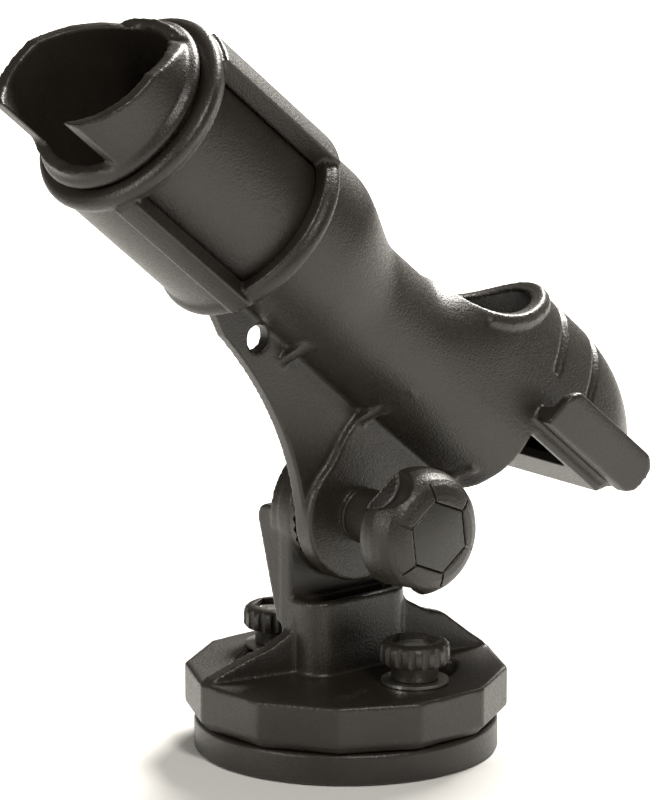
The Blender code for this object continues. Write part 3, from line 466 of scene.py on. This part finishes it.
# %% The outer shape
def hood_size(station):
    grow = smooth((station - HOOD_START) / HOOD_RISE)
    width = mix(TUBE_RADIUS, HOOD_HALF_WIDTH, grow)
    height = mix(TUBE_RADIUS, HOOD_HEIGHT, grow)
    over_side = max(0.0, (station - HOOD_SIDE_TURN) / (HOOD_END - HOOD_SIDE_TURN))
    over_top = max(0.0, (station - HOOD_TOP_TURN) / (HOOD_END - HOOD_TOP_TURN))
    return width * sqrt(max(0.0, 1 - over_side**2)), height * sqrt(max(0.0, 1 - over_top**2.5))


def hood_station(station, wall):
    width, height = hood_size(station)
    return (station, AXIS_HEIGHT, width - wall, height - wall, min(TUBE_RADIUS, height) - wall)


def neck(station):
    t = smooth((station - SHOULDER_END) / (NECK_END - SHOULDER_END))
    height = mix(AXIS_HEIGHT + SHOULDER_RISE, AXIS_HEIGHT, t)
    return height, mix(SHOULDER_RADIUS, TUBE_RADIUS, t)


rings = [round_station(-0.1612, AXIS_HEIGHT, BEAD_RADIUS - 0.0020)]
for station, radius in ((-0.1606, 0.0287), (-0.1594, 0.0295), (-0.1582, 0.0295), (-0.1570, 0.0287)):
    rings.append(round_station(station, AXIS_HEIGHT, radius))
rings.append(round_station(-0.1564, AXIS_HEIGHT, SEAT_RADIUS))
rings.append(round_station(SEAT_END, AXIS_HEIGHT, SEAT_RADIUS))
rings.append(round_station(SEAT_END + 0.0001, AXIS_HEIGHT + SHOULDER_RISE, SHOULDER_RADIUS))
rings += [round_station(s, *neck(s)) for s in stations(SHOULDER_END, NECK_END, 12)]
rings += [hood_station(s, 0.0) for s in stations(HOOD_START, HOOD_START + HOOD_RISE, 14)]
for turn in stations(0.0, pi / 2, 24)[:-1]:
    rings.append(hood_station(HOOD_TOP_TURN + (HOOD_END - HOOD_TOP_TURN) * sin(turn), 0.0))
tube = skin(rings)
print("barrel", len(tube.data.polygons), "faces")

# %% The hollow
floor = AXIS_HEIGHT + SHOULDER_RISE - SHOULDER_RADIUS + TUBE_WALL
ceiling = AXIS_HEIGHT + SEAT_BORE
rings = [round_station(-0.195, AXIS_HEIGHT, SEAT_BORE), round_station(SEAT_END - 0.004, AXIS_HEIGHT, SEAT_BORE)]
rings.append(round_station(SEAT_END + 0.002, (floor + ceiling) / 2, (ceiling - floor) / 2))
for s in stations(SHOULDER_END, NECK_END, 8):
    height, radius = neck(s)
    rings.append(round_station(s, height, min(radius - TUBE_WALL, SEAT_BORE)))
for s in stations(HOOD_START, HOOD_START + HOOD_RISE, 12):
    rings.append(hood_station(s, mix(TUBE_WALL, HOOD_WALL, smooth((s - HOOD_START) / HOOD_RISE))))
for turn in stations(0.0, pi / 2, 18)[:-1]:
    rings.append(hood_station(HOOD_TOP_TURN + (HOOD_END - HOOD_WALL - HOOD_TOP_TURN) * sin(turn), HOOD_WALL))
hollow = skin(rings)
print("hollow", len(hollow.data.polygons), "faces")


# %% [markdown]
# ## The mouth's horns
#
# Two tips stand out from the mouth and leave a wide notch below and a shallow one above, so a
# rod can be lifted out sideways. They are the end of a thick pipe, cut across from the side
# with a wavy outline. The cut leans a little, so the front tip is the longer one.

# %% Horns
HORN_EDGE = ((43, -0.1843), (60, -0.1813), (80, -0.1788), (100, -0.1768), (124, -0.1703), (140, -0.1655), (152, -0.1610))
HORN_LEAN = radians(6.5)
MOUTH_NOTCH = -0.1635


def side_height(degrees_round):
    return AXIS_HEIGHT - SEAT_RADIUS * cos(radians(degrees_round))


wave = [(station, side_height(turn)) for turn, station in HORN_EDGE]
outline = [(-0.205, 0.0), (MOUTH_NOTCH, 0.0), (MOUTH_NOTCH, wave[0][1])]
outline += wave + [(MOUTH_NOTCH, wave[-1][1]), (MOUTH_NOTCH, 0.1), (-0.205, 0.1)]
at_notch = Matrix.Translation((MOUTH_NOTCH, OFFSET, 0))
lean = at_notch @ Matrix.Rotation(HORN_LEAN, 4, "Z") @ at_notch.inverted()
horns = rod(SEAT_RADIUS, -0.1950, -0.1575, "X", (OFFSET, AXIS_HEIGHT), 160)
cut(horns, trace(outline, -0.05, 0.05, lean @ ONTO_Y))
print("horns", len(horns.data.polygons), "faces")

# %% [markdown]
# ## Web, hub, gussets and wings
#
# These are flat stiffeners on the real moulding, so each is an outline extruded to its
# thickness. The wings are short skins: a slanting blade with a rounded top and ends.

# %% Web and hub
HUB_FRONT = -0.0080
WEB_FRONT, WEB_BACK = 0.0056, 0.0006
meet = radians(225)
start = Vector((SHOULDER_END - 0.004, AXIS_HEIGHT - TUBE_RADIUS - 0.0105))
end = Vector((HUB_RADIUS * cos(meet), HUB_RADIUS * sin(meet)))
bend = Vector((-0.0385, 0.0095))
inside = AXIS_HEIGHT - TUBE_RADIUS + TUBE_WALL / 2
outline = [(SEAT_END + 0.0006, AXIS_HEIGHT - TUBE_RADIUS - 0.0060)]
for t in stations(0.0, 1.0, 25)[:-1]:
    point = start * (1 - t) ** 2 + bend * 2 * t * (1 - t) + end * t**2
    outline.append((point.x, point.y))
outline += arc((0, 0), HUB_RADIUS, meet, tau - radians(8), 40)
outline += [(TUBE_END - 0.002, inside - 0.006), (TUBE_END - 0.002, inside)]
outline += [(NECK_END, inside), (SEAT_END + 0.0006, inside)]
join(tube, trace(outline, WEB_BACK, WEB_FRONT, ONTO_Y))
join(tube, rod(HUB_RADIUS, HUB_FRONT, -0.0014, "Y", (0, 0), 96))
thick_web = [(-0.0190, -0.0080), (0.0206, 0.0030), (TUBE_END - 0.003, inside), (-0.0207, inside), (-0.0217, 0.0170)]
join(tube, trace(thick_web, WEB_FRONT - 0.001, -HUB_FRONT, ONTO_Y))


# %% Gussets
GUSSETS = ((-0.057, 0.0180, 0.0195), (-0.0195, 0.0180, 0.0190), (0.020, 0.0220, 0.0160))


def gusset(station, foot, spread, side):
    face = OFFSET + side * 0.00125
    touch = OFFSET + side * spread
    inner = TUBE_RADIUS - TUBE_WALL / 2
    height = AXIS_HEIGHT - sqrt(inner**2 - spread**2)
    halfway = AXIS_HEIGHT - sqrt(inner**2 - spread**2 / 4)
    outline = [(face, foot), (touch + side * 0.0006, height - 0.0025), (touch, height)]
    outline += [(OFFSET + side * spread / 2, halfway), (face, AXIS_HEIGHT - inner)]
    return trace(outline, station - 0.0015, station + 0.0015, ONTO_X)


for station, foot, spread in GUSSETS:
    for side in (-1, 1):
        join(tube, gusset(station, foot, spread, side))
print("tube with web and gussets", len(tube.data.polygons), "faces")


# %% Wings
WING_START, WING_END, WING_ROUND = 0.025, 0.0705, 0.007
WING_FOOT, WING_TIP, WING_REACH, WING_THICK = 0.0545, 0.0690, 0.0335, 0.0045


def wing(side):
    root = HOOD_HALF_WIDTH - HOOD_WALL / 2
    knee = mix(WING_FOOT, WING_TIP, 0.35)
    section = [
        (root, WING_FOOT + 0.0015),
        (WING_REACH - 0.0070, WING_FOOT),
        (WING_REACH - 0.0030, WING_FOOT + 0.0005),
        (WING_REACH - 0.0005, WING_TIP - 0.004),
        (WING_REACH - 0.0008, WING_TIP - 0.001),
        (WING_REACH - 0.0022, WING_TIP),
        (WING_REACH - 0.0040, WING_TIP - 0.001),
        (WING_REACH - 0.0005 - WING_THICK, knee + 0.0015),
        (root, knee),
    ]
    outline = [(OFFSET + side * across, height) for across, height in section]
    blade = trace(outline, WING_START, WING_END, ONTO_X)
    rounded = [(WING_START - 0.001, 0.04), (WING_END + 0.001, 0.04)]
    rounded += arc((WING_END - WING_ROUND, WING_TIP - WING_ROUND + 0.0003), WING_ROUND, 0.0, pi / 2, 12)
    rounded += arc((WING_START + WING_ROUND, WING_TIP - WING_ROUND + 0.0003), WING_ROUND, pi / 2, pi, 12)
    keep = trace(rounded, -0.05, 0.05, ONTO_Y)
    combine(blade, keep, "INTERSECT")
    return blade


join(tube, wing(-1), wing(1))


# %% The hood's rim and its grooves
def hood_shell(low, high, wall, count=10):
    """The hood's outer shape between two stations, drawn a wall inside its skin."""
    return skin([hood_station(s, wall) for s in stations(low, high, count)])


scoop_height = AXIS_HEIGHT + TUBE_RADIUS + 0.039 + 0.0003
rim = hood_shell(-0.008, 0.030, -0.0012, 16)
combine(rim, rod(0.0425, -0.06, 0.06, "Y", (-0.020, scoop_height), 120), "INTERSECT")
join(tube, rim)
for station in (0.0265, 0.0440):
    groove = hood_shell(station - 0.0013, station + 0.0013, -0.0030, 3)
    cut(groove, hood_shell(station - 0.0030, station + 0.0030, 0.0013, 3))
    top = [(station - 0.01, 0.075), (station + 0.01, 0.068), (station + 0.01, 0.12), (station - 0.01, 0.12)]
    combine(groove, trace(top, -0.05, 0.05, ONTO_Y), "INTERSECT")
    cut(tube, groove)


# %% Hollowing and cutting
def under_hood(start, thickness):
    turn = 0.064 + thickness * sin(radians(44)) * 0.5
    far = HOOD_END + 0.01
    height = 0.051 + thickness
    rise = (far - turn) * sin(radians(44)) / cos(radians(44))
    return [(start, -0.02), (far, -0.02), (far, height + rise), (turn, height), (start, height)]


cut(hollow, trace(under_hood(0.0495, HOOD_WALL), -0.06, 0.06, ONTO_Y))
join(tube, horns)
cut(tube, hollow)
cut(tube, rod(0.039, -0.06, 0.06, "Y", (-0.020, scoop_height), 160))
cut(tube, trace(under_hood(TUBE_END, 0.0), -0.06, 0.06, ONTO_Y))
cut(tube, rod(0.0042, -0.02, 0.01, "Y", (-0.0694, 0.0214), 48))
cut(tube, rod(0.0043, -0.02, 0.01, "Y", (0, 0), 48))
print("tube, cut", len(tube.data.polygons), "faces")

# %% Softening the tube
soften(tube, 0.00075, 3)
place(tube, TO_TUBE)
finish_piece(tube, "tube_moulding", NYLON, "tube", "black_nylon", "rod_tube")


# %% [markdown]
# ## The locking collar
#
# The collar is a wide ring with a window. It turns over the tube's window to hold the rod in.
# It starts as a pipe with a rounded ridge at each end, gets three finger lobes, and its
# window is cut last.

# %% Collar
COLLAR_INNER = SEAT_RADIUS + 0.0004
COLLAR_RADIUS = COLLAR_INNER + 0.0044
COLLAR_START, COLLAR_END = -0.1562, -0.0918


def collar_sector(inner, outer, low, high, start, end, steps=24):
    outline = [(-y, z) for y, z in arc((0, 0), outer, low, high, steps)]
    outline += [(-y, z) for y, z in arc((0, 0), inner, high, low, steps)]
    outline = [(y + OFFSET, z + AXIS_HEIGHT) for y, z in outline]
    return trace(outline, start, end, ONTO_X)


profile = [(0.0, 0.0008), (0.0008, 0.0004), (0.0016, 0.0012), (0.0032, 0.0014), (0.0046, 0.0010), (0.0058, 0.0)]
rings = [round_station(COLLAR_START + s, AXIS_HEIGHT, COLLAR_RADIUS + rise) for s, rise in profile]
rings += [round_station(COLLAR_END - s, AXIS_HEIGHT, COLLAR_RADIUS + rise) for s, rise in reversed(profile)]
rings[0] = round_station(COLLAR_START, AXIS_HEIGHT, COLLAR_RADIUS - 0.0010)
rings[-1] = round_station(COLLAR_END, AXIS_HEIGHT, COLLAR_RADIUS - 0.0010)
collar = skin(rings)
for i in (-1, 0, 1):
    bpy.ops.object.select_all(action="DESELECT")
    bpy.ops.mesh.primitive_uv_sphere_add(segments=48, ring_count=32, radius=1.0)
    lobe = bpy.context.active_object
    radius = COLLAR_RADIUS + 0.0045 - 0.0105
    angle = radians(122)
    station = (COLLAR_START + COLLAR_END) / 2 + i * 0.020
    at = Matrix.Translation((station, OFFSET - radius * cos(angle), AXIS_HEIGHT + radius * sin(angle)))
    place(lobe, at @ Matrix.Rotation(angle - pi / 2, 4, "X").inverted() @ Matrix.Diagonal((0.0105, 0.0130, 0.0105, 1)))
    join(collar, lobe)
LOW, HIGH = radians(-50), radians(46)
outside = COLLAR_RADIUS + 0.0024
inside = COLLAR_INNER + 0.001
join(collar, collar_sector(inside, outside, LOW - radians(13), LOW, COLLAR_START + 0.005, COLLAR_END - 0.002))
join(collar, collar_sector(inside, outside, HIGH, HIGH + radians(25), COLLAR_START + 0.005, COLLAR_END - 0.002))
window = collar_sector(SEAT_BORE, COLLAR_RADIUS + 0.006, LOW, HIGH, COLLAR_START + 0.007, COLLAR_END - 0.007, 48)
cut(collar, window)
cut(collar, rod(COLLAR_INNER, COLLAR_START - 0.01, COLLAR_END + 0.01, "X", (OFFSET, AXIS_HEIGHT), 128))
soften(collar, 0.0006, 3)
place(collar, TO_TUBE)
finish_piece(collar, "collar_moulding", NYLON, "collar", "black_nylon", "lock_collar")

# %% [markdown]
# ## The swivel base
#
# The base's shape is already right, so its CAD mesh is copied and softened, which gives the
# flange, the column and the ribs the small radii of a moulding.

# %% Base
base = copy_of_node("swivel_base", "base_moulding")
soften(base, 0.0007, 3)
finish_piece(base, "base_moulding", NYLON, "swivel", "black_nylon", "swivel_base")

# %% [markdown]
# ## The teeth of the tilt joint
#
# Softening a moulding would wipe out its face teeth, so each toothed ring is its own piece. A
# disc is closed by a fan of triangles, and every second point of its rim is pushed back.


# %% Toothed rings
def toothed_ring(name, root, tip, turn, body):
    bpy.ops.object.select_all(action="DESELECT")
    bpy.ops.mesh.primitive_cone_add(
        vertices=72, radius1=0.0202, radius2=0.0202, depth=0.0026, end_fill_type="TRIFAN"
    )
    ring = bpy.context.active_object
    bpy.ops.object.mode_set(mode="EDIT")
    places = {v.index: v.co.copy() for v in bmesh.from_edit_mesh(ring.data).verts}
    rim = [i for i, at in places.items() if at.z > 0 and at.xy.length > 0.01]
    rim.sort(key=lambda i: places[i].xy.angle_signed(Vector((1, 0))))
    select_only(ring, set(rim[::2]))
    bpy.ops.transform.translate(value=(0, 0, -abs(tip - root)))
    bpy.ops.object.mode_set(mode="OBJECT")
    cut(ring, rod(0.0125, -0.01, 0.01, "Z", (0, 0), 64))
    facing = ONTO_Y.inverted() if tip > root else ONTO_Y
    away = -0.0013 if tip > root else 0.0013
    spin = Matrix.Rotation(turn, 4, "Y")
    place(ring, Matrix.Translation((0, tip + away, PIVOT_HEIGHT)) @ spin @ facing)
    finish_piece(ring, name, NYLON, body, "black_nylon")


toothed_ring("hub_teeth", -0.0014, -0.0002, TILT, "tube")
toothed_ring("ear_teeth", 0.0014, 0.0002, TILT + pi / 36, "swivel")

# %% [markdown]
# ## The mounting pad
#
# A plain disc with a rounded rim, so it is spun from a profile. A fine step under the rim is
# where the two halves of the tool met.

# %% Pad
PAD_RADIUS, PAD_TOP = 0.0475, 0.010
profile = [(0.0, 0.016), (0.0094, 0.016), (0.010, 0.0154), (0.010, PAD_TOP)]
profile += arc((PAD_RADIUS - 0.0015, PAD_TOP - 0.0015), 0.0015, pi / 2, 0.0, 7)
profile += [(PAD_RADIUS, 0.0006), (PAD_RADIUS - 0.0006, 0.0), (0.0, 0.0)]
pad = lathe(profile, 160)
for node_name in ("pad_bolt_front", "pad_bolt_back"):
    low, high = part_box(node_name)
    middle = ((low[0] + high[0]) / 2, (low[1] + high[1]) / 2)
    cut(pad, rod(0.0043, -0.001, 0.02, "Z", middle, 48))
    cut(pad, rod(0.0078, -0.001, 0.0059, "Z", middle, 6))
pick(pad)
bpy.ops.object.shade_smooth_by_angle(angle=radians(30))
finish_piece(pad, "pad_moulding", NYLON, "pad", "black_nylon", "mounting_pad")


# %% [markdown]
# ## Clamp nuts
#
# Each clamp nut is a small moulded grip with scoops round it and a steel hexagon sunk in its
# top. It is spun from a profile, scooped sixteen times, and its edges are bevelled.

# %% Grips
def make_grip(name, where, body):
    low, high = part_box("clamp_nut_" + where)
    middle = ((low[0] + high[0]) / 2, (low[1] + high[1]) / 2)
    bottom, top = low[2], high[2]
    shoulder = bottom + 0.005
    profile = [(0.0, top), (0.0088, top), (0.0098, top - 0.0005), (0.0106, top - 0.0013), (0.0109, top - 0.0024)]
    profile += [(0.0109, shoulder + 0.0010), (0.0101, shoulder), (0.0073, shoulder), (0.0073, bottom), (0.0, bottom)]
    grip = lathe(profile, 96)
    for i in range(16):
        angle = tau * i / 16
        centre = (0.01144 * cos(angle), 0.01144 * sin(angle))
        cut(grip, rod(0.0014, shoulder - 0.001, top + 0.001, "Z", centre, 24))
    cut(grip, rod(0.0043, bottom - 0.001, top + 0.001, "Z", (0, 0), 48))
    cut(grip, rod(0.0068 / cos(pi / 6), bottom + 0.006, top + 0.001, "Z", (0, 0), 6))
    place(grip, Matrix.Translation((*middle, 0)))
    apply_modifier(grip, "BEVEL", width=0.00025, segments=2, limit_method="ANGLE", angle_limit=radians(40))
    pick(grip)
    bpy.ops.object.shade_smooth_by_angle(angle=radians(40))
    finish_piece(grip, name, NYLON, body, "black_nylon", "clamp_nut_" + where)


make_grip("grip_front", "front", "nut_front")
make_grip("grip_back", "back", "nut_back")

# %% [markdown]
# ## The adjuster knob
#
# A three-lobed hand knob that faces sideways. Its profile is spun about Z, scooped three
# times, and turned so that its face looks along -Y.

# %% Knob
KNOB_FACE, KNOB_BACK, KNOB_RADIUS = 0.0449, 0.0285, 0.0200
KNOB_TURN = radians(7)
profile = [(0.0, KNOB_FACE), (0.0112, KNOB_FACE)]
profile += [(0.0136, KNOB_FACE - 0.0005), (0.0160, KNOB_FACE - 0.0018), (0.0178, KNOB_FACE - 0.0036)]
profile += [(0.0191, KNOB_FACE - 0.0061), (0.0199, KNOB_FACE - 0.0092), (0.0199, KNOB_BACK + 0.0035)]
profile += [(0.0193, KNOB_BACK + 0.0014), (0.0178, KNOB_BACK), (0.0087, KNOB_BACK), (0.0087, 0.0096), (0.0, 0.0096)]
knob = lathe(profile, 120)
for i in range(3):
    scoop = rod(0.0095, -0.006, 0.03, "Z", (0, 0), 64)
    lean = Matrix.Translation((0.0235, 0, KNOB_BACK + 0.004)) @ Matrix.Rotation(radians(24), 4, "Y")
    place(scoop, Matrix.Rotation(KNOB_TURN + tau * i / 3, 4, "Z") @ lean)
    cut(knob, scoop)
recess = rod(0.0117, KNOB_FACE - 0.0025, KNOB_FACE + 0.001, "Z", (0, 0), 6)
place(recess, Matrix.Rotation(KNOB_TURN, 4, "Z"))
cut(knob, recess)
cut(knob, rod(0.0078, KNOB_FACE - 0.0085, KNOB_FACE, "Z", (0, 0), 6))
cut(knob, rod(0.0043, 0.0, KNOB_FACE, "Z", (0, 0), 48))
soften(knob, 0.0004, 4)
for i in range(6):
    groove = trace([(0.0116, -0.0004), (0.0210, -0.0004), (0.0210, 0.0004), (0.0116, 0.0004)], -0.0006, 0.0030)
    slope = Matrix.Translation((0.0125, 0, KNOB_FACE - 0.0001)) @ Matrix.Rotation(radians(24), 4, "Y")
    slope = slope @ Matrix.Translation((-0.0125, 0, 0))
    place(groove, Matrix.Rotation(KNOB_TURN + tau * (i + 0.5) / 6, 4, "Z") @ slope)
    cut(knob, groove)
bpy.ops.object.select_all(action="DESELECT")
TO_PIVOT = Matrix.Translation((0, 0, PIVOT_HEIGHT)) @ ONTO_Y
place(knob, TO_PIVOT)
finish_piece(knob, "knob_moulding", NYLON, "knob", "black_nylon", "adjuster_knob")

# %% Knob cap
cap = rod(0.0114, KNOB_FACE - 0.0022, KNOB_FACE - 0.0001, "Z", (0, 0), 6)
place(cap, Matrix.Rotation(KNOB_TURN, 4, "Z"))
apply_modifier(cap, "BEVEL", width=0.0005, segments=3, limit_method="ANGLE", angle_limit=radians(40))
place(cap, TO_PIVOT)
pick(cap)
bpy.ops.object.shade_smooth_by_angle(angle=radians(30))
finish_piece(cap, "knob_cap_panel", CAP_NYLON, "knob", "grey_nylon", "knob_cap")

# %% [markdown]
# ## Hardware
#
# The bolts, washers and nuts keep their CAD shapes and get the steel.

# %% Steel on the CAD nodes
for name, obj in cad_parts.items():
    if name.startswith(("pad_bolt", "slot_washer", "nut_insert", "pivot_")):
        obj.data.materials.clear()
        obj.data.materials.append(STEEL)
        print("steel:", name)

# %% [markdown]
# ## Floor and light
#
# A pale floor and a white room: a dark, slightly glossy plastic shows its shape by the pale
# reflections along its edges, so the surroundings are bright and the lamps are large and soft.

# %% Floor
bpy.ops.object.select_all(action="DESELECT")
bpy.ops.mesh.primitive_plane_add(size=6.0, location=(0, 0, -0.0002))
studio_floor = bpy.context.active_object
studio_floor.name = "studio_floor"
bpy.ops.object.transform_apply(location=True, rotation=True, scale=True)
paper, paper_tree, paper_shader, paper_coordinates = new_material("white paper")
paper_shader.inputs["Base Color"].default_value = linear("#F4F4F2")
paper_shader.inputs["Roughness"].default_value = 0.9
studio_floor.data.materials.append(paper)

# %% Light
# The camera sees the room white, but the room lights the part less than it looks, so that the
# lamps keep their contrast.
world = bpy.data.worlds.new("white room")
world.use_nodes = True
tree = world.node_tree
room = tree.nodes["Background"]
room.inputs["Color"].default_value = linear("#FFF8EE")
room.inputs["Strength"].default_value = 0.15
seen = node(tree, "ShaderNodeBackground", Strength=0.95)
seen.inputs["Color"].default_value = linear("#FFFFFF")
path = node(tree, "ShaderNodeLightPath")
choice = node(tree, "ShaderNodeMixShader", [("Fac", path.outputs["Is Camera Ray"])])
tree.links.new(room.outputs["Background"], choice.inputs[1])
tree.links.new(seen.outputs["Background"], choice.inputs[2])
tree.links.new(choice.outputs["Shader"], tree.nodes["World Output"].inputs["Surface"])
bpy.context.scene.world = world


def soft_lamp(name, at, size, watts):
    data = bpy.data.lights.new(name, "AREA")
    data.shape = "DISK"
    data.size = size
    data.energy = watts
    data.color = (1.0, 0.965, 0.91)
    lamp = bpy.data.objects.new(name, data)
    bpy.context.scene.collection.objects.link(lamp)
    lamp.location = at
    aim = Vector((0.0, 0.0, 0.12)) - Vector(at)
    lamp.rotation_euler = aim.to_track_quat("-Z", "Y").to_euler()


soft_lamp("key_lamp", (-0.5, -1.5, 1.7), 0.45, 22)
soft_lamp("side_lamp", (-1.7, 0.1, 0.7), 0.6, 10)
soft_lamp("rim_lamp", (1.3, 0.5, 1.2), 0.8, 70)
bpy.context.scene.view_settings.view_transform = "Standard"
